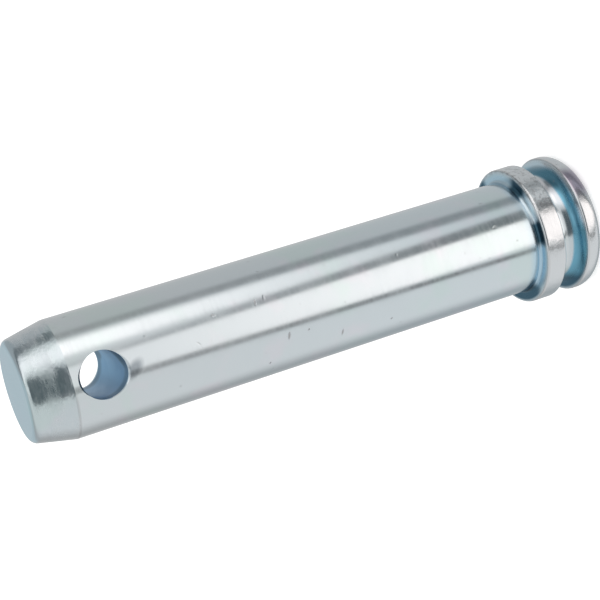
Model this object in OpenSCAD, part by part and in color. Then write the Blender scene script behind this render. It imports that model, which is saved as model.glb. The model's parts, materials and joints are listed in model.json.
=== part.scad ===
// Hitch pin: one piece of steel bar with a grooved head, a tapered lead and a cross hole for its clip.
// It stands on its head, with the shank's axis along Z and the origin in the middle of the head's face.

/* [Shank] */
// Diameter of the shank
shank_d = 28; // [22:0.5:30]
// Length of the shank, from the collar's shoulder to the end of the tip
shank_length = 129; // [80:0.5:220]
// Radius of the fillet where the shank meets the collar
root_fillet = 0.8; // [0.5:0.1:2.5]

/* [Lead] */
// Length of the tapered lead at the tip
lead_length = 10; // [4:0.5:12]
// Slope of the lead, measured from the pin's axis
lead_angle = 12; // [5:1:25]
// Radius of the edge round the tip's end face
tip_edge = 1.8; // [0.2:0.1:2.2]

/* [Cross hole] */
// Diameter of the hole for the clip
hole_d = 11; // [6:0.5:13]
// Distance from the end of the tip to the middle of the hole
hole_setback = 17.3; // [16:0.1:40]
// Width of the chamfer at the hole's mouths, at their highest point
hole_chamfer = 0.5; // [0.2:0.1:1]

/* [Collar] */
// Diameter of the collar that stops the pin
collar_d = 34; // [30.5:0.5:44]
// Thickness of the collar
collar_thickness = 5.3; // [3:0.1:10]
// Radius of the collar's two edges
collar_edge = 0.6; // [0.2:0.1:0.8]

/* [Groove] */
// Diameter at the groove's floor
groove_d = 25; // [20:0.5:29]
// Width of the groove between the collar and the head
groove_width = 6.2; // [4:0.1:12]
// Radius of the sweep from the groove's floor up to the head
head_sweep = 3.9; // [0.5:0.1:4.5]
// Radius of the fillet between the groove's floor and the collar
collar_fillet = 1.5; // [0.5:0.1:2]

/* [Head] */
// Diameter of the head
head_d = 34; // [30.5:0.5:44]
// Thickness of the head
head_thickness = 5; // [3:0.1:10]
// Radius that rounds the head's outer end
head_round = 3.5; // [0.5:0.1:6]
// Radius of the head's edge beside the groove
head_edge = 0.6; // [0.2:0.1:0.8]

/* [Hidden] */
shank_r = shank_d / 2;
collar_r = collar_d / 2;
groove_r = groove_d / 2;
head_r = head_d / 2;
hole_r = hole_d / 2;
tip_r = shank_r - lead_length * tan(lead_angle);

// Heights above the head's face
collar_z = head_thickness + groove_width;
shoulder_z = collar_z + collar_thickness;
tip_z = shoulder_z + shank_length;
lead_z = tip_z - lead_length;
hole_z = tip_z - hole_setback;

// Fillets and rounds, no larger than the walls that they join
collar_edge_r = min(collar_edge, (collar_r - max(shank_r, groove_r)) / 2);
head_edge_r = min(head_edge, (head_r - groove_r) / 2);
root_r = min(root_fillet, collar_r - collar_edge_r - shank_r);
groove_depth = min(head_r - head_edge_r, collar_r - collar_edge_r) - groove_r;
collar_fillet_r = min(collar_fillet, groove_depth, groove_width / 2);
head_sweep_r = min(head_sweep, groove_depth, groove_width - collar_fillet_r);
head_end_r = min(head_round, head_thickness - head_edge_r);

// How far a cutter reaches past the surface that it cuts
overcut = 2;

$fn = 120;

// What lies between a sharp corner and its round: an edge loses it and an inner corner gains it.
// The corner is at the origin, between a face towards -X and one downwards that leans outwards by lean.
module corner(radius, lean = 0) {
    reach = radius * tan((90 - lean) / 2);
    difference() {
        polygon([[0, 0], [-reach, 0], [-reach, -radius], [reach * sin(lean), -reach * cos(lean)]]);
        translate([-reach, -radius]) circle(radius);
    }
}

// One half of a disc's section, with its two edges rounded
module disc_section(radius, thickness, lower_edge, upper_edge) {
    difference() {
        square([radius, thickness]);
        translate([radius, thickness]) corner(upper_edge);
        translate([radius, 0]) mirror([0, 1]) corner(lower_edge);
    }
}

// The head and the collar, with the groove that a ring, cord or handle is held in between them
module head_section() {
    disc_section(head_r, head_thickness, head_end_r, head_edge_r);
    translate([0, head_thickness]) square([groove_r, groove_width]);
    translate([groove_r, head_thickness]) rotate(180) corner(head_sweep_r);
    translate([groove_r, collar_z]) mirror([1, 0]) corner(collar_fillet_r);
    translate([0, collar_z]) disc_section(collar_r, collar_thickness, collar_edge_r, collar_edge_r);
}

// The shank with its root fillet and its tapered lead
module shank_section() {
    translate([shank_r, shoulder_z]) rotate(180) corner(root_r);
    difference() {
        polygon([[0, shoulder_z], [shank_r, shoulder_z], [shank_r, lead_z], [tip_r, tip_z], [0, tip_z]]);
        translate([tip_r, tip_z]) corner(tip_edge, lead_angle);
    }
}

// The drill for the clip's hole, and a countersink that takes the edge off each mouth
module hole_cutter() {
    translate([0, 0, hole_z]) rotate([90, 0, 0]) {
        cylinder(r = hole_r, h = shank_d + 2 * overcut, center = true);
        for (side = [0, 1]) mirror([0, 0, side]) translate([0, 0, shank_r - hole_chamfer])
            cylinder(r1 = hole_r, r2 = hole_r + hole_chamfer + overcut, h = hole_chamfer + overcut);
    }
}

module hitch_pin() {
    color("lightsteelblue") difference() {
        rotate_extrude() {
            head_section();
            shank_section();
        }
        hole_cutter();
    }
}

hitch_pin();
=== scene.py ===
"""A zinc-plated hitch pin, standing on its head in a small photo studio.

The pin is turned from one lengthwise section, drilled across, and finished with a plate that reflects
the studio's soft panels as long bands down the shank.
"""

import collections
import json
import math

import bmesh
import bpy
from bpy.props import FloatProperty, FloatVectorProperty, IntProperty, PointerProperty
from mathutils import Matrix, Vector


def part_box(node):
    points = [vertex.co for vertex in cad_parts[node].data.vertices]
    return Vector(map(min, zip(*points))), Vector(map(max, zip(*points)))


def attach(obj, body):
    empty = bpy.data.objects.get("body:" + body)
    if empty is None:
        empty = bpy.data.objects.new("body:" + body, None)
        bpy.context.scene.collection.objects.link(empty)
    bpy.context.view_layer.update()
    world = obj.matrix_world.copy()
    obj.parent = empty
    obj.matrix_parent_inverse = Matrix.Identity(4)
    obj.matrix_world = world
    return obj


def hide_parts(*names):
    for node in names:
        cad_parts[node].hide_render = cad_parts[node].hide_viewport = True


bl_info = {
    "name": "Hitch Pin",
    "version": (1, 0, 0),
    "blender": (4, 5, 0),
    "location": "3D View > Sidebar > Hitch Pin",
    "description": "Builds a zinc-plated hitch pin and the studio that it is shown in",
    "category": "Add Mesh",
}

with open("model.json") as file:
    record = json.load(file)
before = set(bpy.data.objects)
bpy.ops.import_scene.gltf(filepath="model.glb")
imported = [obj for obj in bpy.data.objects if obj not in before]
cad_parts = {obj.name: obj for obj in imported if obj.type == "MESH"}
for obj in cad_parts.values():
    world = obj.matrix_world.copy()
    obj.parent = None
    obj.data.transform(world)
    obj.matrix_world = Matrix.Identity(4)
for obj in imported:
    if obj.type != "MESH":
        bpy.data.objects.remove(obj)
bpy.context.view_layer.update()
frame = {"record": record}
PIN_NODE = "hitch_pin"
MM = 0.001

# The sizes that the frame gives: its mounts are the turned surfaces that other parts meet
MOUNTS = {mount["name"]: mount for mount in frame["record"]["mounts"]}
PIN_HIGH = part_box(PIN_NODE)[1]
SHANK = MOUNTS["shank"]
HOLE = MOUNTS["cross_hole"]
GROOVE = MOUNTS["head_groove"]


def mm(*lengths):
    """Lengths in mm, in metres."""
    return tuple(length * MM for length in lengths)


def mount_radius(mount):
    """A round mount's radius in metres."""
    return mount["dims"]["r_mm"] * MM


def mount_span(mount):
    """The lower and upper end of a mount along the pin's axis, in metres."""
    middle = mount["pos_m"][2]
    half = mount["dims"]["length_mm"] * MM / 2
    return middle - half, middle + half


SHANK_SPAN = mount_span(SHANK)
GROOVE_SPAN = mount_span(GROOVE)
SHOULDER_HEIGHT = MOUNTS["shoulder"]["pos_m"][2]


def length_property(name, description, default):
    """A length of the pin that a user can change."""
    return FloatProperty(
        name=name, description=description, default=default, min=0.0, precision=5, unit="LENGTH"
    )


def colour_property(name, description, default):
    """A plain linear colour that a user can change."""
    return FloatVectorProperty(
        name=name, description=description, default=default, size=3, min=0.0, max=4.0, subtype="COLOR"
    )


class PinSizes(bpy.types.PropertyGroup):
    """The sizes of the turned pin, in the frame's own coordinates"""

    length: length_property("Length", "Overall length, from the head's face to the tip", PIN_HIGH.z)
    shank_radius: length_property("Shank radius", "Radius of the plain shank", mount_radius(SHANK))
    shank_foot: length_property(
        "Shank foot", "Height at which the root fillet runs into the shank", SHANK_SPAN[0]
    )
    shank_top: length_property("Shank top", "Height at which the tapered lead starts", SHANK_SPAN[1])
    lead_angle: FloatProperty(
        name="Lead angle", description="Slope of the tapered lead from the pin's axis",
        default=math.radians(12.0), subtype="ANGLE",
    )
    tip_edge: length_property("Tip edge", "Radius of the edge round the tip's end face", 1.8 * MM)
    hole_radius: length_property("Hole radius", "Radius of the clip hole", mount_radius(HOLE))
    hole_height: length_property("Hole height", "Height of the clip hole's axis", HOLE["pos_m"][2])
    hole_chamfer: length_property(
        "Hole chamfer", "Chamfer at the highest point of the hole's mouths", 0.5 * MM
    )
    head_radius: length_property("Head radius", "Radius of the head", PIN_HIGH.x)
    head_round: length_property("Head round", "Radius that rounds the head's outer end", 3.5 * MM)
    groove_radius: length_property("Groove radius", "Radius of the groove's floor", mount_radius(GROOVE))
    groove_low: length_property("Groove's lower side", "Height of the groove's lower side", GROOVE_SPAN[0])
    groove_high: length_property("Groove's upper side", "Height of the groove's upper side", GROOVE_SPAN[1])
    head_sweep: length_property(
        "Head sweep", "Radius of the sweep from the groove's floor to the head", 3.9 * MM
    )
    collar_fillet: length_property(
        "Collar fillet", "Radius of the fillet between the groove's floor and the collar", 1.5 * MM
    )
    collar_radius: length_property("Collar radius", "Radius of the collar", PIN_HIGH.x)
    shoulder: length_property("Shoulder height", "Height of the collar's bearing face", SHOULDER_HEIGHT)
    rim_edge: length_property("Rim edge", "Radius of the rims of the collar and the head", 0.6 * MM)
    segments: IntProperty(
        name="Segments", description="Steps that the section is spun in", default=384, min=24, max=720
    )


class PlateFinish(bpy.types.PropertyGroup):
    """The colours and texture of the zinc plate"""

    plate: colour_property("Plate", "Colour of the zinc plate", (0.66, 0.71, 0.735))
    rose: colour_property("Rose tint", "Warm side of the plate's faint colour play", (0.69, 0.705, 0.74))
    sea: colour_property("Sea tint", "Green side of the plate's faint colour play", (0.64, 0.72, 0.72))
    rim: colour_property("Rims", "Colour of the plate where tumbling has rubbed the rims", (0.69, 0.70, 0.71))
    plum: colour_property("Plum tint", "Stain on one side of the head's rim", (0.42, 0.37, 0.44))
    # The root's blue is partly the passivation's own tint in the corner and partly painted shade there
    root: colour_property(
        "Root", "Colour of the passivation that gathers at the shank's root", (0.49, 0.67, 0.79)
    )
    # The groove's dark teal is partly the passivation's own tint and partly painted shade in the recess
    groove: colour_property(
        "Groove", "Colour of the passivation that gathers in the groove", (0.20, 0.46, 0.60)
    )
    # Painted shade: the dark colour that stands in for shade and for the pin's contact shadow. It goes on the
    # low side of the groove and the root, on one side of the groove, in streaks at the collar's face and in
    # the hole's mouth
    painted_shade: colour_property("Drained", "The same where the bath drained last", (0.06, 0.13, 0.18))
    worn: colour_property("Nicks", "Colour of the nicks and specks", (0.34, 0.33, 0.33))
    smear: colour_property("Smear", "Colour of the dull smear beside the hole", (0.24, 0.275, 0.305))
    # The bore's blue is partly the plate's own tint in the hole and partly painted shade inside it
    bore: colour_property("Bore", "Colour of the plate inside the drilled hole", (0.30, 0.50, 0.71))
    roughness: FloatProperty(
        name="Roughness", description="Roughness of the turned and plated surface",
        default=0.17, min=0.0, max=1.0,
    )


class StudioSetup(bpy.types.PropertyGroup):
    """The camera and the light"""

    azimuth: FloatProperty(
        name="Azimuth", description="Camera's direction, turned from straight along +Y",
        default=math.radians(8.60), subtype="ANGLE",
    )
    elevation: FloatProperty(
        name="Elevation", description="How far the camera looks down",
        default=math.radians(20.12), subtype="ANGLE",
    )
    roll: FloatProperty(
        name="Roll", description="How far the camera is rolled, so that the pin lies across the picture",
        default=math.radians(107.51), subtype="ANGLE",
    )
    distance: length_property("Distance", "From the camera to the point that it looks at", 0.38288)
    aim: FloatVectorProperty(
        name="Aim", description="The point that the camera looks at",
        default=(0.715 * MM, 0.108 * MM, 74.84 * MM), size=3, subtype="TRANSLATION", unit="LENGTH",
        precision=4,
    )
    lens: FloatProperty(
        name="Lens", description="Focal length on a 36 mm wide sensor", default=97.04, unit="CAMERA"
    )
    floor_size: length_property("Floor size", "Width of the paper floor", 6.0)
    ambient: FloatProperty(
        name="Ambient", description="Strength of the room's plain light", default=0.85, min=0.0
    )
    key_strength: FloatProperty(
        name="Key light", description="Strength of the soft key light", default=0.6, min=0.0
    )
    key_angle: FloatProperty(
        name="Key softness", description="Width of the key light as seen from the pin",
        default=math.radians(40), subtype="ANGLE",
    )
    key_elevation: FloatProperty(
        name="Key elevation", description="Height of the key light over the camera's side of the floor",
        default=math.radians(50), subtype="ANGLE",
    )
    paper_lift: FloatProperty(
        name="Paper lift", description="Lifts the paper to white where the camera or the metal sees it",
        default=0.45, min=0.0,
    )


# How the pin is meshed: straight runs of the section longer than the first get a point this far from each
# end, points this close are one point after the spin and after the drilling, and facets that meet at more
# than the angle have a sharp edge
LONG_RUN = 1 * MM
HOLD = 0.25 * MM
SPIN_WELD = 0.0001 * MM
DRILL_WELD = 0.002 * MM
SHARP_ANGLE = math.radians(11)


def arc(centre, radius, start, end, steps):
    """Points of an arc in the section's plane, from start to end in degrees."""
    turn = (end - start) / steps
    angles = [math.radians(start + turn * step) for step in range(steps + 1)]
    return [(centre[0] + radius * math.cos(a), centre[1] + radius * math.sin(a)) for a in angles]


def with_holding_points(points):
    """The section's points, with one more close to each end of every long straight run.

    They keep the smooth shading of a fillet from leaning into the flat or the cylinder beside it.
    """
    held = []
    for (r0, z0), (r1, z1) in zip(points, points[1:]):
        held.append((r0, z0))
        run = math.hypot(r1 - r0, z1 - z0)
        if run > LONG_RUN:
            for share in (HOLD / run, 1 - HOLD / run):
                held.append((r0 + (r1 - r0) * share, z0 + (z1 - z0) * share))
    return held + [points[-1]]


def pin_section(sizes):
    """Half of the pin's lengthwise section, from the middle of the head's face to the middle of the tip."""
    rim, sweep, fillet, tip = sizes.rim_edge, sizes.head_sweep, sizes.collar_fillet, sizes.tip_edge
    head_inner = sizes.head_radius - sizes.head_round
    head_rim, collar_rim = sizes.head_radius - rim, sizes.collar_radius - rim
    root = sizes.shank_foot - sizes.shoulder
    lean = math.degrees(sizes.lead_angle)
    tip_radius = sizes.shank_radius - (sizes.length - sizes.shank_top) * math.tan(sizes.lead_angle)
    tip_reach = tip * math.tan(math.radians((90 - lean) / 2))
    points = [(0.0, 0.0)]
    points += arc((head_inner, sizes.head_round), sizes.head_round, -90, 0, steps=20)
    points += arc((head_rim, sizes.groove_low - rim), rim, 0, 90, steps=10)
    points += arc((sizes.groove_radius + sweep, sizes.groove_low + sweep), sweep, 270, 180, steps=24)
    points += arc((sizes.groove_radius + fillet, sizes.groove_high - fillet), fillet, 180, 90, steps=12)
    points += arc((collar_rim, sizes.groove_high + rim), rim, -90, 0, steps=10)
    points += arc((collar_rim, sizes.shoulder - rim), rim, 0, 90, steps=10)
    points += arc((sizes.shank_radius + root, sizes.shank_foot), root, 270, 180, steps=16)
    points += [(sizes.shank_radius, sizes.shank_top)]
    points += arc((tip_radius - tip_reach, sizes.length - tip), tip, lean, 90, steps=8)
    points += [(0.0, sizes.length)]
    return points


def spun(name, section, axis, steps):
    """A closed mesh: a section of (radius, height) points, spun about an axis through the origin."""
    mesh = bpy.data.meshes.new(name)
    bm = bmesh.new()
    across = Vector((1, 0, 0))
    corners = [bm.verts.new(across * r + axis * z) for r, z in section]
    edges = [bm.edges.new(pair) for pair in zip(corners, corners[1:])]
    bmesh.ops.spin(
        bm, geom=corners + edges, cent=(0, 0, 0), axis=axis, angle=2 * math.pi, steps=steps, use_merge=True
    )
    bmesh.ops.remove_doubles(bm, verts=bm.verts, dist=SPIN_WELD)
    bmesh.ops.recalc_face_normals(bm, faces=bm.faces)
    bm.to_mesh(mesh)
    bm.free()
    return mesh


def new_object(name, mesh):
    """An object for the mesh, in the scene."""
    obj = bpy.data.objects.new(name, mesh)
    bpy.context.scene.collection.objects.link(obj)
    return obj


def drill(obj, cutter):
    """Cuts the cutter out of the object for good, and welds points that the cut left double."""
    modifier = obj.modifiers.new("drilled", "BOOLEAN")
    modifier.operation = "DIFFERENCE"
    modifier.solver = "EXACT"
    modifier.object = cutter
    bpy.context.view_layer.update()
    evaluated = obj.evaluated_get(bpy.context.evaluated_depsgraph_get())
    cut = bpy.data.meshes.new_from_object(evaluated)
    obj.modifiers.remove(modifier)
    cut.name = obj.data.name
    welded = bmesh.new()
    welded.from_mesh(cut)
    bmesh.ops.remove_doubles(welded, verts=welded.verts, dist=DRILL_WELD)
    welded.to_mesh(cut)
    welded.free()
    obj.data = cut
    bpy.data.objects.remove(cutter)


def hole_cutter(sizes):
    """The drill for the clip hole, with a countersink at each mouth, lying along Y at its height."""
    overcut = 2 * MM
    radius = sizes.hole_radius
    mouth = sizes.shank_radius - sizes.hole_chamfer
    wide = radius + sizes.hole_chamfer + overcut
    end = sizes.shank_radius + overcut
    section = [(0, -end), (wide, -end), (radius, -mouth), (radius, mouth), (wide, end), (0, end)]
    mesh = spun("hole_cutter", section, Vector((0, 1, 0)), sizes.segments // 2)
    cutter = new_object("hole_cutter", mesh)
    cutter.data.transform(Matrix.Translation((0, 0, sizes.hole_height)))
    return cutter


class MaterialNodes:
    """Short calls for putting nodes into a material, a world or a node group."""

    def __init__(self, tree):
        self.tree = tree

    def add(self, kind, inputs=None, **settings):
        """A new node, with its settings made and its inputs set or linked."""
        node = self.tree.nodes.new(kind)
        for key, value in settings.items():
            setattr(node, key, value)
        for key, value in (inputs or {}).items():
            self.put(value, node.inputs[key])
        return node

    def put(self, value, socket):
        """Links an output socket to the input socket, or sets the input to a plain value."""
        if isinstance(value, bpy.types.NodeSocket):
            self.tree.links.new(value, socket)
        else:
            socket.default_value = value

    def math(self, operation, first, *others):
        """One value changed by an operation, or several values joined by it one after the other."""
        if not others:
            return self.add("ShaderNodeMath", {0: first}, operation=operation).outputs[0]
        for other in others:
            first = self.add("ShaderNodeMath", {0: first, 1: other}, operation=operation).outputs[0]
        return first

    def vector_math(self, operation, first, *others):
        """The same for vectors. Where the result is a number, such as a length, it is that number."""
        inputs = dict(enumerate((first, *others)))
        outputs = self.add("ShaderNodeVectorMath", inputs, operation=operation).outputs
        return outputs["Value"] if operation == "LENGTH" else outputs["Vector"]

    def blend(self, factor, first, second):
        """Two colours mixed by a factor."""
        node = self.add("ShaderNodeMix", data_type="RGBA", blend_type="MIX")
        colours = [socket for socket in node.inputs if socket.type == "RGBA"]
        self.put(factor, node.inputs[0])
        self.put(first, colours[0])
        self.put(second, colours[1])
        return next(socket for socket in node.outputs if socket.type == "RGBA")

    def ramp(self, value, low, high, smooth=True):
        """0 below low, 1 above high, and a soft step between them."""
        node = self.add(
            "ShaderNodeMapRange", {"Value": value, "From Min": low, "From Max": high},
            interpolation_type="SMOOTHSTEP" if smooth else "LINEAR", clamp=True,
        )
        return node.outputs["Result"]

    def step(self, value, ends, base=0.0):
        """A ramp from the first of two ends to the second, both measured from a base."""
        return self.ramp(value, base + ends[0], base + ends[1])

    def band(self, value, rise, fall, base=0.0):
        """1 between a rise and a fall, both measured from a base."""
        return self.math("MULTIPLY", self.step(value, rise, base), self.step(value, fall, base))


def rgba(colour):
    """A colour with full alpha, for a colour socket."""
    return (*colour, 1.0)


def new_group(name, inputs, outputs):
    """An empty shader node group with these sockets, and its two end nodes."""
    tree = bpy.data.node_groups.new(name, "ShaderNodeTree")
    for socket, kind, default in inputs:
        made = tree.interface.new_socket(name=socket, in_out="INPUT", socket_type=kind)
        if default is not None:
            made.default_value = default
    for socket, kind in outputs:
        tree.interface.new_socket(name=socket, in_out="OUTPUT", socket_type=kind)
    nodes = MaterialNodes(tree)
    return nodes, nodes.add("NodeGroupInput").outputs, nodes.add("NodeGroupOutput").inputs


def radius_from_axis(nodes, place):
    """How far a point lies from the pin's axis."""
    return nodes.vector_math("LENGTH", nodes.vector_math("MULTIPLY", place, (1.0, 1.0, 0.0)))


def turning_marks_group():
    """Rings left by turning: they run round the shank and in circles on the end faces."""
    nodes, given, out = new_group(
        "turning_marks",
        [
            ("Vector", "NodeSocketVector", None),
            ("Pitch", "NodeSocketFloat", 0.35 * MM),
            ("Streak", "NodeSocketFloat", 12 * MM),
            ("Detail", "NodeSocketFloat", 2.0),
        ],
        [("Height", "NodeSocketFloat"), ("Mask", "NodeSocketFloat")],
    )
    place = nodes.add("ShaderNodeSeparateXYZ", {0: given["Vector"]}).outputs
    along = nodes.math("ADD", place["Z"], radius_from_axis(nodes, given["Vector"]))
    stretched = nodes.add("ShaderNodeCombineXYZ", {
        "X": nodes.math("DIVIDE", place["X"], given["Streak"]),
        "Y": nodes.math("DIVIDE", place["Y"], given["Streak"]),
        "Z": nodes.math("DIVIDE", along, given["Pitch"]),
    }).outputs[0]
    rings = nodes.add(
        "ShaderNodeTexNoise", {"Vector": stretched, "Scale": 1.0, "Detail": given["Detail"], "Roughness": 0.6}
    ).outputs[0]
    nodes.put(rings, out["Height"])
    nodes.put(nodes.ramp(rings, low=0.35, high=0.7), out["Mask"])
    return nodes.tree


def clouds_group():
    """Soft clouds of a given size, for stains and for the faint dents of tumbling."""
    nodes, given, out = new_group(
        "clouds",
        [
            ("Vector", "NodeSocketVector", None),
            ("Size", "NodeSocketFloat", 14 * MM),
            ("Detail", "NodeSocketFloat", 3.0),
            ("Low", "NodeSocketFloat", 0.45),
            ("High", "NodeSocketFloat", 0.65),
        ],
        [("Height", "NodeSocketFloat"), ("Mask", "NodeSocketFloat")],
    )
    scaled = nodes.add("ShaderNodeVectorMath", {0: given["Vector"]}, operation="SCALE")
    nodes.put(nodes.math("DIVIDE", 1.0, given["Size"]), scaled.inputs["Scale"])
    clouds = nodes.add(
        "ShaderNodeTexNoise",
        {"Vector": scaled.outputs[0], "Scale": 1.0, "Detail": given["Detail"], "Roughness": 0.55},
    ).outputs[0]
    nodes.put(clouds, out["Height"])
    nodes.put(nodes.ramp(clouds, given["Low"], given["High"]), out["Mask"])
    return nodes.tree


def ring_zone_group():
    """A zone between two heights and out to a radius: 1 inside it, fading at its ends."""
    nodes, given, out = new_group(
        "ring_zone",
        [
            ("Vector", "NodeSocketVector", None),
            ("Low", "NodeSocketFloat", 0.0),
            ("High", "NodeSocketFloat", 0.0),
            ("Fade Low", "NodeSocketFloat", 0.2 * MM),
            ("Fade High", "NodeSocketFloat", 1 * MM),
            ("Radius", "NodeSocketFloat", 1.0),
            ("Fade Out", "NodeSocketFloat", 0.2 * MM),
        ],
        [("Mask", "NodeSocketFloat")],
    )
    place = nodes.add("ShaderNodeSeparateXYZ", {0: given["Vector"]}).outputs
    radius = radius_from_axis(nodes, given["Vector"])
    above = nodes.ramp(place["Z"], nodes.math("SUBTRACT", given["Low"], given["Fade Low"]), given["Low"])
    below = nodes.ramp(place["Z"], nodes.math("ADD", given["High"], given["Fade High"]), given["High"])
    within = nodes.ramp(radius, given["Radius"], nodes.math("SUBTRACT", given["Radius"], given["Fade Out"]))
    nodes.put(nodes.math("MULTIPLY", above, below, within), out["Mask"])
    return nodes.tree


def nick_group():
    """One nick on the shank: 1 in its middle, fading to 0 at its ends, and running a little aslant."""
    nodes, given, out = new_group(
        "nick",
        [
            ("Vector", "NodeSocketVector", None),
            ("Height", "NodeSocketFloat", 0.0),
            ("Direction", "NodeSocketFloat", 0.0),
            ("Reach", "NodeSocketFloat", 3.0),
            ("Width", "NodeSocketFloat", 0.4 * MM),
        ],
        [("Mask", "NodeSocketFloat")],
    )
    place = nodes.add("ShaderNodeSeparateXYZ", {0: given["Vector"]}).outputs
    turned = nodes.math("DEGREES", nodes.math("ARCTAN2", place["Y"], place["X"]))
    round_pin = nodes.math("DIVIDE", nodes.math("SUBTRACT", turned, given["Direction"]), given["Reach"])
    along = nodes.math("DIVIDE", nodes.math("SUBTRACT", place["Z"], given["Height"]), given["Width"])
    slant = 0.6
    aslant = nodes.math("ADD", along, nodes.math("MULTIPLY", round_pin, slant))
    both = nodes.add("ShaderNodeCombineXYZ", {"X": round_pin, "Y": aslant}).outputs[0]
    nodes.put(nodes.ramp(nodes.vector_math("LENGTH", both), low=1.0, high=0.3), out["Mask"])
    return nodes.tree


# Clouds in the finish: their size in mm, how finely they are broken up, and the noise's values at which a
# cloud starts and is full
Clouds = collections.namedtuple("Clouds", "size detail low high", defaults=(0.45, 0.65))
ROSE_CLOUDS = Clouds(13, 3.0, 0.52, 0.66)
SEA_CLOUDS = Clouds(17, 3.0, 0.50, 0.36)
RUBBED_CLOUDS = Clouds(1.0, 1.0, 0.50, 0.62)
SPECKS = Clouds(1.5, 0.0, 0.80, 0.88)
DULL_CLOUDS = Clouds(5, 3.0, 0.40, 0.75)
DENTS = Clouds(1.3, 2.0)

# Marks of turning: their pitch and how long a streak is, in mm, and how finely they are broken up
Marks = collections.namedtuple("Marks", "pitch streak detail")
FINE_RINGS = Marks(0.35, 12, 2.0)
CHATTER = Marks(2.6, 5, 3.0)

# Nicks in the shank: height above the head's face in mm, direction round the pin and reach round it in
# degrees, and half of the width along the pin in mm
Nick = collections.namedtuple("Nick", "height direction reach width")
NICKS = (
    Nick(84.5, -108, 5.5, 0.45),
    Nick(89.5, -133, 1.8, 0.30),
    Nick(79.5, -108, 1.5, 0.30),
    Nick(71.0, -123, 5.0, 0.35),
    Nick(58.0, -126, 1.6, 0.35),
    Nick(90.3, -68, 4.0, 0.30),
    Nick(47.0, 35, 3.0, 0.35),
    Nick(102.0, 84, 4.0, 0.30),
    Nick(66.0, 150, 2.0, 0.40),
)

# The dark smear that the drill left beside the hole
SMEAR = Nick(121.5, -93, 11.5, 2.6)

# Corners where the passivation's tint and painted shade gather, in mm: how far it reaches past the corner,
# how softly it fades there, how far inside the rim it ends, and how softly it fades towards the rim
Corner = collections.namedtuple("Corner", "reach fade inset fade_out")
GROOVE_CORNER = Corner(1.4, 0.6, 0.1, 1.0)
ROOT_CORNER = Corner(0.6, 3.2, 0.5, 1.4)
# Painted shadow streaks at the collar's face
SHADOW_CORNER = Corner(0.6, 0.8, 0.2, 0.8)

# The pairs below say where something begins to show and where it shows in full. These run round the pin, as
# X over the distance from the axis.
RUBBED_SIDE = (0.30, 0.42)
# Where the head's upper rim is left clear of the groove's tint and painted shade
CLEAR_RIM_SIDE = (-0.15, 0.15)
SHADED_SIDE = (0.62, 0.78)
# The underside, where painted shadow streaks run at the collar's face
UNDERSIDE = (-0.80, -0.92)
# The low side, darkened with painted shade in the groove and at the root
LOW_SIDE = (-0.82, -1.0)  # X over the shank's radius
# Bands of painted shadow streaks at the collar's face
SHADOW_STREAKS = (((-0.20, -0.06), (0.30, 0.20)), ((0.66, 0.74), (0.94, 0.86)))
# Sides where the root's tint and painted shade are held back
UNSHADED_MIDDLE = ((-0.20, -0.06), (0.74, 0.66))
UNSHADED_TOP = (0.84, 0.94)

# These run across the pin, from its axis towards +X
PLUM_STAIN = (mm(5.5, 9), mm(14.5, 12))
START_LINE_SIDE = mm(-1, -4)
GROOVE_SIDE = mm(-1.2, -3.6)  # from the head's radius

# These run outwards or inwards, from the radius of the shank
RIM = mm(1.6, 2.6)
NICKED_SKIN = mm(-0.9, -0.3)
SMEARED_SKIN = mm(-0.5, -0.1)
HOLE_LIP = mm(-0.6, -1.0)
HOLE_MOUTH = mm(-5.0, -2.4)
# Where the head's upper rim is left clear of the groove's tint and painted shade
CLEAR_RIM_RADIUS = mm(-2.2, -0.4)  # from the head's radius

# These run up or down the pin, from the foot of the lead
LEAD_FOOT = mm(0, 0.4)
LEAD_MIDDLE = (mm(2.1, 3.7), mm(6.9, 5.3))
START_LINE = mm(0.40, 0.15)
LEAD_END = mm(-0.1, -1.2)  # from the tip
COLLAR = mm(4, 5)  # from the groove's lower side

# The hole's wall ends just outside the hole's radius. The painted shade in its mouth reaches deeper and is
# darker on the side away from the tip where X is large, so by X less the height above the hole's axis.
HOLE_WALL = mm(0.15, 0.05)
SHADOW_SLANT = mm(4.8, 7.0)
SHADOW_DEEPER = 2.5 * MM
SHADOW_SHARE = 0.5
SHADOW_DARKER = 0.26

# How much of each mark's colour shows: the shaded share is painted shade, and the unshaded shares hold back
# the root's tint and painted shade
RUBBED_SHARE = 0.4
SHADED_SHARE = 0.5
UNSHADED_MIDDLE_SHARE = 0.65
UNSHADED_TOP_SHARE = 0.5
START_LINE_SHARE = 0.3
SMEAR_SHARE = 0.8
SPECK_SHARE = 0.35
NICK_SHARE = 0.7

# How far clouds and rings vary the plate's roughness, and what each place adds to it
FINE_ROUGHNESS = (-0.03, 0.02)
HOLE_ROUGHNESS = 0.22
LEAD_ROUGHNESS = 0.10
NICK_ROUGHNESS = 0.25
RIM_ROUGHNESS = 0.05
LEAD_MIDDLE_ROUGHNESS = 0.14
CORNER_ROUGHNESS = 0.12

# Heights of the relief
CHATTER_HEIGHT = 0.16 * MM
DENT_HEIGHT = 0.05 * MM
RING_HEIGHT = 0.0015 * MM
NICK_DEPTH = 0.05 * MM


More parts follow.
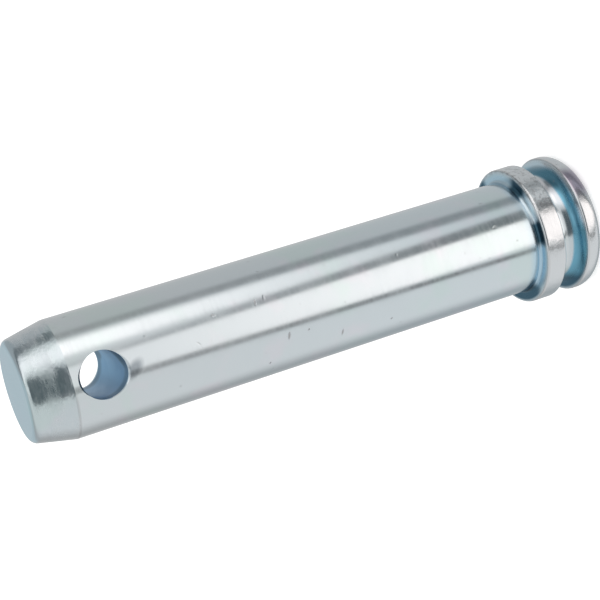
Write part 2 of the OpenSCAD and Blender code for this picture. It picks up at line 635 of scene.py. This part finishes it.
class PlateNodes(MaterialNodes):
    """The nodes of the zinc plate, with the places on the pin that its colour, roughness and relief share."""

    def __init__(self, tree, sizes):
        super().__init__(tree)
        self.sizes = sizes
        self.place = self.add("ShaderNodeTexCoord").outputs["Object"]
        self.clouds_tree = clouds_group()
        self.marks_tree = turning_marks_group()
        self.zone_tree = ring_zone_group()
        self.nick_tree = nick_group()
        parts = self.add("ShaderNodeSeparateXYZ", {0: self.place}).outputs
        self.across, self.up = parts["X"], parts["Z"]
        self.radius = radius_from_axis(self, self.place)
        self.side = self.math("DIVIDE", self.across, self.radius)
        self.on_rim = self.step(self.radius, RIM, sizes.shank_radius)
        self.in_groove = self.groove_mask()
        self.in_corner = self.corner(SHADOW_CORNER, sizes.shoulder, sizes.collar_radius)
        self.in_hole = self.hole_mask()
        self.worn = self.worn_mask()
        self.fine = self.marks(FINE_RINGS)
        self.chatter = self.marks(CHATTER)
        self.lead = self.math(
            "MULTIPLY",
            self.step(self.up, LEAD_FOOT, sizes.shank_top),
            self.step(self.up, LEAD_END, sizes.length),
        )

    def group(self, tree, **values):
        """The outputs of a node group at the point that is shaded."""
        inputs = {"Vector": self.place}
        inputs.update({key.replace("_", " "): value for key, value in values.items()})
        return self.add("ShaderNodeGroup", inputs, node_tree=tree).outputs

    def clouds(self, kind):
        """The height and the mask of some clouds."""
        return self.group(
            self.clouds_tree, Size=kind.size * MM, Detail=kind.detail, Low=kind.low, High=kind.high
        )

    def marks(self, kind):
        """The height and the mask of some marks of turning."""
        return self.group(
            self.marks_tree, Pitch=kind.pitch * MM, Streak=kind.streak * MM, Detail=kind.detail
        )

    def nick(self, kind):
        """The mask of a nick."""
        return self.group(
            self.nick_tree, Height=kind.height * MM, Direction=kind.direction, Reach=kind.reach,
            Width=kind.width * MM,
        )["Mask"]

    def corner(self, kind, face, rim):
        """Where the passivation's tint and painted shade gather in a corner: on a disc's upper face, from its
        rounded edge up.
        """
        return self.group(
            self.zone_tree, Low=face - self.sizes.rim_edge, High=face + kind.reach * MM,
            Fade_High=kind.fade * MM, Radius=rim - kind.inset * MM, Fade_Out=kind.fade_out * MM,
        )["Mask"]

    def rest(self, mask):
        """1 where a mask is 0, and 0 where it is 1."""
        return self.math("SUBTRACT", 1.0, mask)

    def groove_mask(self):
        """The groove's tint and painted shade. The head's upper rim is left clear of them on one side."""
        sizes = self.sizes
        gathered = self.corner(GROOVE_CORNER, sizes.groove_low, sizes.head_radius)
        clear_rim = self.math(
            "MULTIPLY",
            self.step(self.radius, CLEAR_RIM_RADIUS, sizes.head_radius),
            self.step(self.side, CLEAR_RIM_SIDE),
        )
        below_edge = self.step(self.across, GROOVE_SIDE, sizes.head_radius)
        return self.math("MULTIPLY", gathered, self.rest(clear_rim), below_edge)

    def hole_mask(self):
        """The drilled wall of the hole: below the skin, and within the hole's radius of the hole's axis."""
        sizes = self.sizes
        from_hole = self.vector_math("SUBTRACT", self.place, (0.0, 0.0, sizes.hole_height))
        away = self.vector_math("LENGTH", self.vector_math("MULTIPLY", from_hole, (1.0, 0.0, 1.0)))
        wall = self.step(away, HOLE_WALL, sizes.hole_radius)
        return self.math("MULTIPLY", wall, self.step(self.radius, HOLE_LIP, sizes.shank_radius))

    def worn_mask(self):
        """Nicks and specks in the skin of the shank."""
        worn = self.math("MULTIPLY", self.clouds(SPECKS)["Mask"], SPECK_SHARE)
        worn = self.math("MAXIMUM", worn, *[self.nick(kind) for kind in NICKS])
        return self.math("MULTIPLY", worn, self.step(self.radius, NICKED_SKIN, self.sizes.shank_radius))

    def clean_colour(self, finish):
        """Faint clouds of a clear passivation, rubbed grey on the rims, with a stain on the head's rim."""
        sizes = self.sizes
        colour = self.blend(self.clouds(ROSE_CLOUDS)["Mask"], rgba(finish.plate), rgba(finish.rose))
        colour = self.blend(self.clouds(SEA_CLOUDS)["Mask"], colour, rgba(finish.sea))
        colour = self.blend(self.on_rim, colour, rgba(finish.rim))
        rubbed = self.math(
            "MULTIPLY", self.clouds(RUBBED_CLOUDS)["Mask"], self.on_rim,
            self.step(self.up, COLLAR, sizes.groove_low), self.step(self.side, RUBBED_SIDE), RUBBED_SHARE,
        )
        colour = self.blend(rubbed, colour, rgba(finish.worn))
        on_head = self.ramp(self.up, sizes.groove_low, sizes.groove_low - sizes.rim_edge)
        plum = self.math("MULTIPLY", self.band(self.across, *PLUM_STAIN), on_head)
        return self.blend(plum, colour, rgba(finish.plum))

    def gathered_colour(self, colour, finish):
        """Blue passivation tint in the groove and at the root, with painted shade there and in streaks at the
        collar.
        """
        sizes = self.sizes
        # Painted shade on the low side of the groove and the root, where the pin would rest
        low_side = self.ramp(self.across, *(side * sizes.shank_radius for side in LOW_SIDE))
        in_groove = self.blend(low_side, rgba(finish.groove), rgba(finish.painted_shade))
        colour = self.blend(self.in_groove, colour, in_groove)
        # Painted shade on one side of the groove
        shaded = self.math("MULTIPLY", self.in_groove, self.step(self.side, SHADED_SIDE), SHADED_SHARE)
        colour = self.blend(shaded, colour, rgba(finish.painted_shade))
        # Sides where the root's tint and painted shade are held back
        unshaded = self.math(
            "MAXIMUM",
            self.math("MULTIPLY", self.band(self.side, *UNSHADED_MIDDLE), UNSHADED_MIDDLE_SHARE),
            self.math("MULTIPLY", self.step(self.side, UNSHADED_TOP), UNSHADED_TOP_SHARE),
        )
        at_root = self.corner(ROOT_CORNER, sizes.shoulder, sizes.collar_radius)
        at_root = self.math("MULTIPLY", at_root, self.rest(unshaded))
        root = self.blend(low_side, rgba(finish.root), rgba(finish.painted_shade))
        colour = self.blend(at_root, colour, root)
        # Painted shadow streaks at the collar's face
        streaks = [self.band(self.side, *streak) for streak in SHADOW_STREAKS]
        streaks = self.math("MAXIMUM", *streaks, self.step(self.side, UNDERSIDE))
        return self.blend(self.math("MULTIPLY", self.in_corner, streaks), colour, rgba(finish.painted_shade))

    def hole_colour(self, colour, finish):
        """The plate is blue inside the hole, partly its own tint and partly painted shade, with darker
        painted shade in its mouth.
        """
        sizes = self.sizes
        colour = self.blend(self.in_hole, colour, rgba(finish.bore))
        # Painted shade in the hole's mouth, deeper and darker on the side away from the tip
        slant = self.math("SUBTRACT", self.across, self.math("SUBTRACT", self.up, sizes.hole_height))
        slant = self.step(slant, SHADOW_SLANT)
        depth = self.math("ADD", self.radius, self.math("MULTIPLY", slant, SHADOW_DEEPER))
        mouth = self.step(depth, HOLE_MOUTH, sizes.shank_radius)
        dark = self.math("ADD", self.math("MULTIPLY", slant, SHADOW_DARKER), SHADOW_SHARE)
        return self.blend(self.math("MULTIPLY", mouth, self.in_hole, dark), colour, rgba(finish.painted_shade))

    def marked_colour(self, colour, finish):
        """A fine line on one side where the turning of the lead began, the drill's smear and the nicks."""
        sizes = self.sizes
        off_line = self.math("ABSOLUTE", self.math("SUBTRACT", self.up, sizes.shank_top))
        line = self.math(
            "MULTIPLY",
            self.step(off_line, START_LINE),
            self.step(self.across, START_LINE_SIDE),
            START_LINE_SHARE,
        )
        colour = self.blend(line, colour, rgba(finish.worn))
        smeared_skin = self.step(self.radius, SMEARED_SKIN, sizes.shank_radius)
        smear = self.math("MULTIPLY", self.nick(SMEAR), smeared_skin, SMEAR_SHARE)
        colour = self.blend(smear, colour, rgba(finish.smear))
        return self.blend(self.math("MULTIPLY", self.worn, NICK_SHARE), colour, rgba(finish.worn))

    def roughness(self, base):
        """Smooth on the shank, and duller in the hole, in nicks, in corners and on the lead."""
        uneven = self.math("ADD", self.fine["Mask"], self.clouds(DULL_CLOUDS)["Mask"])
        least, most = (base + change for change in FINE_ROUGHNESS)
        turned = self.add(
            "ShaderNodeMapRange", {"Value": uneven, "To Min": least, "To Max": most}, clamp=False
        ).outputs["Result"]
        middle = self.band(self.up, *LEAD_MIDDLE, base=self.sizes.shank_top)
        return self.math(
            "ADD",
            turned,
            self.math("MULTIPLY", self.in_hole, HOLE_ROUGHNESS),
            self.math("MULTIPLY", self.chatter["Mask"], self.lead, LEAD_ROUGHNESS),
            self.math("MULTIPLY", self.worn, NICK_ROUGHNESS),
            self.math("MULTIPLY", self.on_rim, RIM_ROUGHNESS),
            self.math("MULTIPLY", middle, self.chatter["Height"], LEAD_MIDDLE_ROUGHNESS),
            self.math("MULTIPLY", self.math("MAXIMUM", self.in_groove, self.in_corner), CORNER_ROUGHNESS),
        )

    def relief(self):
        """Fine rings on the shank, chatter on the lead, the dents of tumbling on the rims, and the nicks."""
        middle = 0.5
        dents = self.math("SUBTRACT", self.clouds(DENTS)["Height"], middle)
        chatter = self.math("SUBTRACT", self.chatter["Height"], middle)
        height = self.math(
            "ADD",
            self.math("MULTIPLY", chatter, self.lead, CHATTER_HEIGHT),
            self.math("MULTIPLY", dents, self.on_rim, DENT_HEIGHT),
            self.math("MULTIPLY", self.fine["Height"], RING_HEIGHT),
            self.math("MULTIPLY", self.worn, -NICK_DEPTH),
        )
        bump = self.add("ShaderNodeBump", {"Height": height, "Strength": 1.0, "Distance": 1.0})
        return bump.outputs["Normal"]


def plate_material(sizes, finish):
    """Bright zinc plate over turned steel."""
    material = bpy.data.materials.new("zinc_plate")
    material.use_nodes = True
    shader = material.node_tree.nodes["Principled BSDF"]
    nodes = PlateNodes(material.node_tree, sizes)
    colour = nodes.clean_colour(finish)
    colour = nodes.gathered_colour(colour, finish)
    colour = nodes.hole_colour(colour, finish)
    colour = nodes.marked_colour(colour, finish)
    nodes.put(1.0, shader.inputs["Metallic"])
    nodes.put(colour, shader.inputs["Base Color"])
    nodes.put(nodes.roughness(finish.roughness), shader.inputs["Roughness"])
    nodes.put(nodes.relief(), shader.inputs["Normal"])
    return material


class HITCHPIN_OT_pin(bpy.types.Operator):
    """Turn, drill and plate the pin"""

    bl_idname = "hitch_pin.build_pin"
    bl_label = "Build the pin"

    def execute(self, context):
        sizes = context.scene.pin_sizes
        section = with_holding_points(pin_section(sizes))
        pin = new_object("pin_body", spun("pin_body", section, Vector((0, 0, 1)), sizes.segments))
        drill(pin, hole_cutter(sizes))
        pin.data.shade_smooth()
        pin.data.set_sharp_from_angle(angle=SHARP_ANGLE)
        pin.data.materials.clear()
        pin.data.materials.append(plate_material(sizes, context.scene.plate_finish))
        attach(pin, "root")
        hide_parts(PIN_NODE)
        return {"FINISHED"}


# The room as the pin mirrors it: soft panels, each painted over those before it. Azimuths run from the
# camera's side of the room towards +X, in degrees. Each group of three is for what the head mirrors, what
# the tip of the shank mirrors, and what faces above the horizon mirror.
Panel = collections.namedtuple("Panel", "name azimuth half_width softness level coolness")
ROOM_LEVEL = (0.87, 0.82, 0.76)
ROOM_COOLNESS = (0.2, 0.0, 0.2)
PANELS = (
    Panel("far_wall", (168, 171, 171), (30, 26, 30), 19, (0.60, 0.60, 0.60), (0.1, 0.0, 1.0)),
    Panel("side_wall", (118, 112, 122), (29, 34, 30), 12, (0.62, 0.57, 0.43), (0.3, 0.0, 0.6)),
    Panel("side_gap", (72.5, 82, 91), (8, 1.5, 7), 10, (0.32, 0.41, 0.20), (0.6, 0.0, 0.8)),
    Panel("strip_light", (46, 52, 49), (10, 6.5, 9.5), 14, (0.68, 1.55, 1.24), (0.5, -0.3, 0.0)),
    Panel("front_sheet", (1, -11, -11), (27, 27, 27), 4, (1.47, 0.94, 0.90), (-0.3, 0.0, 0.2)),
    Panel("front_gap", (35, 17, 17), (9, 0.1, 0.1), 5, (0.20, 0.64, 0.58), (0.6, 0.0, 0.2)),
    Panel("table_gap", (-40.5, -29, -34), (2.7, 4.8, 3), 3, (0.19, 0.43, 0.30), (0.3, 0.0, 0.3)),
    Panel("table_shadow", (-143.5, -144, -144), (4.3, 2.5, 2.5), 40, (0.47, 0.45, 0.45), (0.6, 0.0, 0.3)),
    Panel("table_end", (-183, -180, -180), (13, 10, 20), 22, (0.46, 0.56, 0.60), (0.3, 0.0, 1.0)),
)
# What one unit of coolness adds to the red, the green and the blue of a light
COOL_LIGHT = (-0.17, 0.0, 0.08)
# Between which heights in degrees the room changes from what the tip mirrors to what the head does, and
# from that to what faces above the horizon mirror
HEAD_HEIGHTS = (-11.0, -28.0)
HORIZON_HEIGHTS = (-3.0, 7.0)

# A dark doorway on the camera's side of the room, in degrees: its azimuth and half of its width, its foot
# and its top, and how soft its edges are
DOORWAY_AZIMUTH = -7
DOORWAY_HALF_WIDTH = 23
DOORWAY_FOOT = 2
DOORWAY_TOP = 46
DOORWAY_SOFTNESS = 9
DOORWAY_COLOUR = (0.115, 0.14, 0.155, 1.0)

PAPER_COLOUR = (0.8, 0.8, 0.8, 1.0)
SENSOR_WIDTH = 36
CLIP_START = 10 * MM


def panel_colour(level, coolness):
    """A panel's light: its level, bluer where it is cooler."""
    return tuple(level * (1 + coolness * part) for part in COOL_LIGHT) + (1.0,)


def dome_panel_group():
    """One soft-edged panel of the studio: 1 on the panel, fading to 0 at its sides."""
    nodes, given, out = new_group(
        "dome_panel",
        [
            ("Azimuth", "NodeSocketFloat", 0.0),
            ("Centre", "NodeSocketFloat", 0.0),
            ("Half Width", "NodeSocketFloat", 10.0),
            ("Softness", "NodeSocketFloat", 5.0),
        ],
        [("Mask", "NodeSocketFloat")],
    )
    away = nodes.math("ABSOLUTE", nodes.math("SUBTRACT", given["Azimuth"], given["Centre"]))
    edge = nodes.math("ADD", given["Half Width"], given["Softness"])
    nodes.put(nodes.ramp(away, edge, given["Half Width"]), out["Mask"])
    return nodes.tree


class RoomHeights:
    """How far up the room a direction points, and the values that change with it."""

    def __init__(self, nodes, height):
        self.nodes = nodes
        self.head_share = nodes.ramp(height, *HEAD_HEIGHTS, smooth=False)
        self.above_share = nodes.ramp(height, *HORIZON_HEIGHTS)

    def value(self, values):
        """A number that changes with the height."""
        head, tip, above = values
        if head == tip == above:
            return tip
        nodes = self.nodes
        low = nodes.add(
            "ShaderNodeMapRange", {"Value": self.head_share, "To Min": tip, "To Max": head}
        ).outputs["Result"]
        return nodes.add(
            "ShaderNodeMapRange", {"Value": self.above_share, "To Min": low, "To Max": above}
        ).outputs["Result"]

    def colour(self, levels, coolness):
        """A light that changes with the height."""
        head, tip, above = [panel_colour(*pair) for pair in zip(levels, coolness)]
        return self.nodes.blend(self.above_share, self.nodes.blend(self.head_share, tip, head), above)


def studio_world(setup):
    """The room: plain light for the floor, and the soft panels that the metal mirrors."""
    world = bpy.data.worlds.new("studio")
    world.use_nodes = True
    nodes = MaterialNodes(world.node_tree)
    background = world.node_tree.nodes["Background"]
    way = nodes.add("ShaderNodeTexCoord").outputs["Generated"]
    turned = nodes.add(
        "ShaderNodeVectorRotate", {"Vector": way, "Angle": -setup.azimuth}, rotation_type="Z_AXIS"
    ).outputs[0]
    part = nodes.add("ShaderNodeSeparateXYZ", {0: turned}).outputs
    toward = nodes.math("MULTIPLY", part["Y"], -1.0)
    azimuth = nodes.math("DEGREES", nodes.math("ARCTAN2", part["X"], toward))
    height = nodes.math("DEGREES", nodes.math("ARCSINE", part["Z"]))
    heights = RoomHeights(nodes, height)

    tree = dome_panel_group()

    def panel_mask(name, centre, half_width, softness):
        """Where the panel of this name lies in the room."""
        inputs = {"Azimuth": azimuth, "Centre": centre, "Half Width": half_width, "Softness": softness}
        return nodes.add("ShaderNodeGroup", inputs, node_tree=tree, label=name).outputs["Mask"]

    room = heights.colour(ROOM_LEVEL, ROOM_COOLNESS)
    for panel in PANELS:
        centre, half_width = heights.value(panel.azimuth), heights.value(panel.half_width)
        mask = panel_mask(panel.name, centre, half_width, panel.softness)
        room = nodes.blend(mask, room, heights.colour(panel.level, panel.coolness))

    soft = (-DOORWAY_SOFTNESS / 2, DOORWAY_SOFTNESS / 2)
    above = nodes.step(height, soft, DOORWAY_FOOT)
    below = nodes.step(height, soft[::-1], DOORWAY_TOP)
    beside = panel_mask("doorway", DOORWAY_AZIMUTH, DOORWAY_HALF_WIDTH, DOORWAY_SOFTNESS)
    room = nodes.blend(nodes.math("MULTIPLY", above, below, beside), room, DOORWAY_COLOUR)

    rays = nodes.add("ShaderNodeLightPath").outputs
    mirrored = nodes.math("MAXIMUM", rays["Is Glossy Ray"], rays["Is Transmission Ray"])
    even = nodes.blend(rays["Is Camera Ray"], rgba([setup.ambient] * 3), rgba([1.0] * 3))
    nodes.put(nodes.blend(mirrored, even, room), background.inputs["Color"])
    nodes.put(1.0, background.inputs["Strength"])
    return world


def paper_material(setup):
    """White background paper: plain to light, and white to the camera apart from the pin's shadow."""
    material = bpy.data.materials.new("floor_paper")
    material.use_nodes = True
    nodes = MaterialNodes(material.node_tree)
    shader = material.node_tree.nodes["Principled BSDF"]
    rays = nodes.add("ShaderNodeLightPath").outputs
    mirrored = nodes.math("MAXIMUM", rays["Is Glossy Ray"], rays["Is Transmission Ray"])
    seen = nodes.math("MAXIMUM", rays["Is Camera Ray"], mirrored)
    nodes.put(PAPER_COLOUR, shader.inputs["Base Color"])
    nodes.put(1.0, shader.inputs["Roughness"])
    nodes.put(0.0, shader.inputs["Specular IOR Level"])
    nodes.put((1.0, 1.0, 1.0, 1.0), shader.inputs["Emission Color"])
    nodes.put(nodes.math("MULTIPLY", seen, setup.paper_lift), shader.inputs["Emission Strength"])
    return material


def camera_object(setup):
    """The camera, placed from its angles about the point that it looks at."""
    forward = Vector((
        -math.sin(setup.azimuth) * math.cos(setup.elevation),
        math.cos(setup.azimuth) * math.cos(setup.elevation),
        -math.sin(setup.elevation),
    ))
    level = forward.cross(Vector((0, 0, 1))).normalized()
    turn = Matrix.Rotation(setup.roll, 3, forward)
    right = turn @ level
    up = right.cross(forward)
    place = Vector(setup.aim) - forward * setup.distance
    data = bpy.data.cameras.new("camera")
    data.lens = setup.lens
    data.sensor_width = SENSOR_WIDTH
    data.clip_start = CLIP_START
    camera = new_object("camera", data)
    rotation = Matrix((right, up, -forward)).transposed()
    camera.matrix_world = Matrix.Translation(place) @ rotation.to_4x4()
    return camera


class HITCHPIN_OT_studio(bpy.types.Operator):
    """Lay the paper floor, light the room and place the camera"""

    bl_idname = "hitch_pin.build_studio"
    bl_label = "Build the studio"

    def execute(self, context):
        scene = context.scene
        setup = scene.studio_setup
        mesh = bpy.data.meshes.new("floor")
        bm = bmesh.new()
        bmesh.ops.create_grid(bm, x_segments=1, y_segments=1, size=setup.floor_size / 2)
        bm.to_mesh(mesh)
        bm.free()
        mesh.materials.append(paper_material(setup))
        floor = new_object("floor", mesh)
        floor.visible_glossy = False

        lamp = bpy.data.lights.new("soft_key", "SUN")
        lamp.energy = setup.key_strength
        lamp.angle = setup.key_angle
        key = new_object("soft_key", lamp)
        towards_lamp = Vector((
            math.sin(setup.azimuth), -math.cos(setup.azimuth), math.tan(setup.key_elevation)
        ))
        key.rotation_euler = towards_lamp.to_track_quat("Z", "Y").to_euler()
        key.visible_glossy = False

        scene.world = studio_world(setup)
        scene.camera = camera_object(setup)
        scene.view_settings.view_transform = "Standard"
        return {"FINISHED"}


class HITCHPIN_PT_sidebar(bpy.types.Panel):
    """The pin's sizes and finish, and the studio, in the 3D view's sidebar"""

    bl_idname = "HITCHPIN_PT_sidebar"
    bl_label = "Hitch Pin"
    bl_space_type = "VIEW_3D"
    bl_region_type = "UI"
    bl_category = "Hitch Pin"

    def draw(self, context):
        for operator, group in (
            (HITCHPIN_OT_pin, context.scene.pin_sizes),
            (HITCHPIN_OT_pin, context.scene.plate_finish),
            (HITCHPIN_OT_studio, context.scene.studio_setup),
        ):
            box = self.layout.box()
            for key in group.__annotations__:
                box.prop(group, key)
            box.operator(operator.bl_idname)


CLASSES = (PinSizes, PlateFinish, StudioSetup, HITCHPIN_OT_pin, HITCHPIN_OT_studio, HITCHPIN_PT_sidebar)


def register():
    for made in CLASSES:
        bpy.utils.register_class(made)
    bpy.types.Scene.pin_sizes = PointerProperty(type=PinSizes)
    bpy.types.Scene.plate_finish = PointerProperty(type=PlateFinish)
    bpy.types.Scene.studio_setup = PointerProperty(type=StudioSetup)


def unregister():
    del bpy.types.Scene.studio_setup
    del bpy.types.Scene.plate_finish
    del bpy.types.Scene.pin_sizes
    for made in reversed(CLASSES):
        bpy.utils.unregister_class(made)


def main():
    register()
    bpy.ops.hitch_pin.build_pin()
    bpy.ops.hitch_pin.build_studio()


if __name__ == "__main__":
    main()
